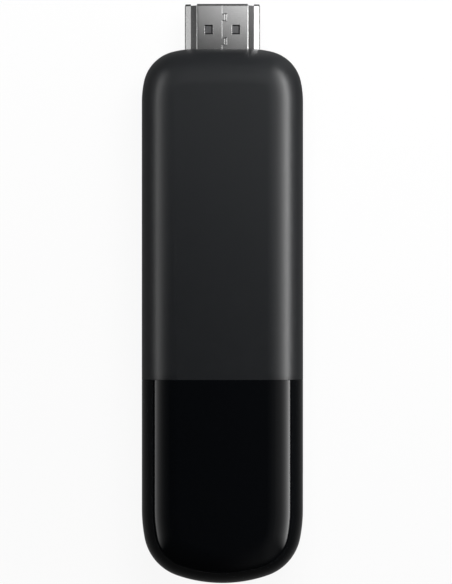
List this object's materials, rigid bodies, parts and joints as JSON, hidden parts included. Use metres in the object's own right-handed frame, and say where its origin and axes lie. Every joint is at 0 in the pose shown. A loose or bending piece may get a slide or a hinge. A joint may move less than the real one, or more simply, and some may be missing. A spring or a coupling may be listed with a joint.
{
  "type": "streaming stick",
  "caption": "Slim black media stick with rounded ends, a matte upper body, a gloss lower body and a metal video plug at one end; a power inlet sits in its side.",
  "frame": {"origin": "under the middle of the whole stick, on the surface that its flat back rests on", "axes": "+Z is the front face, +Y the end with the video plug, +X the side with the power inlet"},
  "size_m": [0.0298, 0.107, 0.0154],
  "materials": {
    "matte_shell": "fine matte moulded plastic, black",
    "gloss_shell": "polished black plastic",
    "rear_shell": "fine matte moulded plastic, black",
    "plug_steel": "nickel-plated folded steel sheet",
    "black_plastic": "black moulded insulator",
    "contact_gold": "gold-plated contacts",
    "inlet_steel": "nickel-plated steel sheet",
    "board_green": "glass-fibre board with green solder mask",
    "chip_epoxy": "black moulded chip package",
    "can_tin": "tin-plated steel sheet",
    "pad_grey": "soft heat-conducting silicone",
    "spreader_aluminium": "stamped aluminium sheet",
    "screw_steel": "zinc-plated steel",
    "ferrite": "dark ferrite",
    "capacitor_ceramic": "tan ceramic",
    "antenna_metal": "stamped and plated sheet"
  },
  "bodies": {
    "root": {"rear_cover": "rear_shell", "front_cover": "matte_shell", "gloss_cover": "gloss_shell", "hdmi_shell": "plug_steel", "hdmi_insulator": "black_plastic", "hdmi_contacts": "contact_gold", "usb_shell": "inlet_steel", "usb_tongue": "black_plastic", "usb_contacts": "contact_gold", "main_board": "board_green", "board_screws": "screw_steel", "front_shield_frame": "can_tin", "front_shield_lid": "can_tin", "rear_shield": "can_tin", "main_processor": "chip_epoxy", "storage_chip": "chip_epoxy", "memory_chips": "chip_epoxy", "power_chip": "chip_epoxy", "esd_filters": "chip_epoxy", "processor_thermal_pad": "pad_grey", "storage_thermal_pad": "pad_grey", "front_thermal_pad": "pad_grey", "rear_thermal_pad": "pad_grey", "front_heat_spreader": "spreader_aluminium", "rear_heat_spreader": "spreader_aluminium", "power_inductors": "ferrite", "clock_crystals": "can_tin", "ceramic_capacitors": "capacitor_ceramic", "wifi_module": "can_tin", "wifi_antennas": "antenna_metal"}
  },
  "joints": []
}
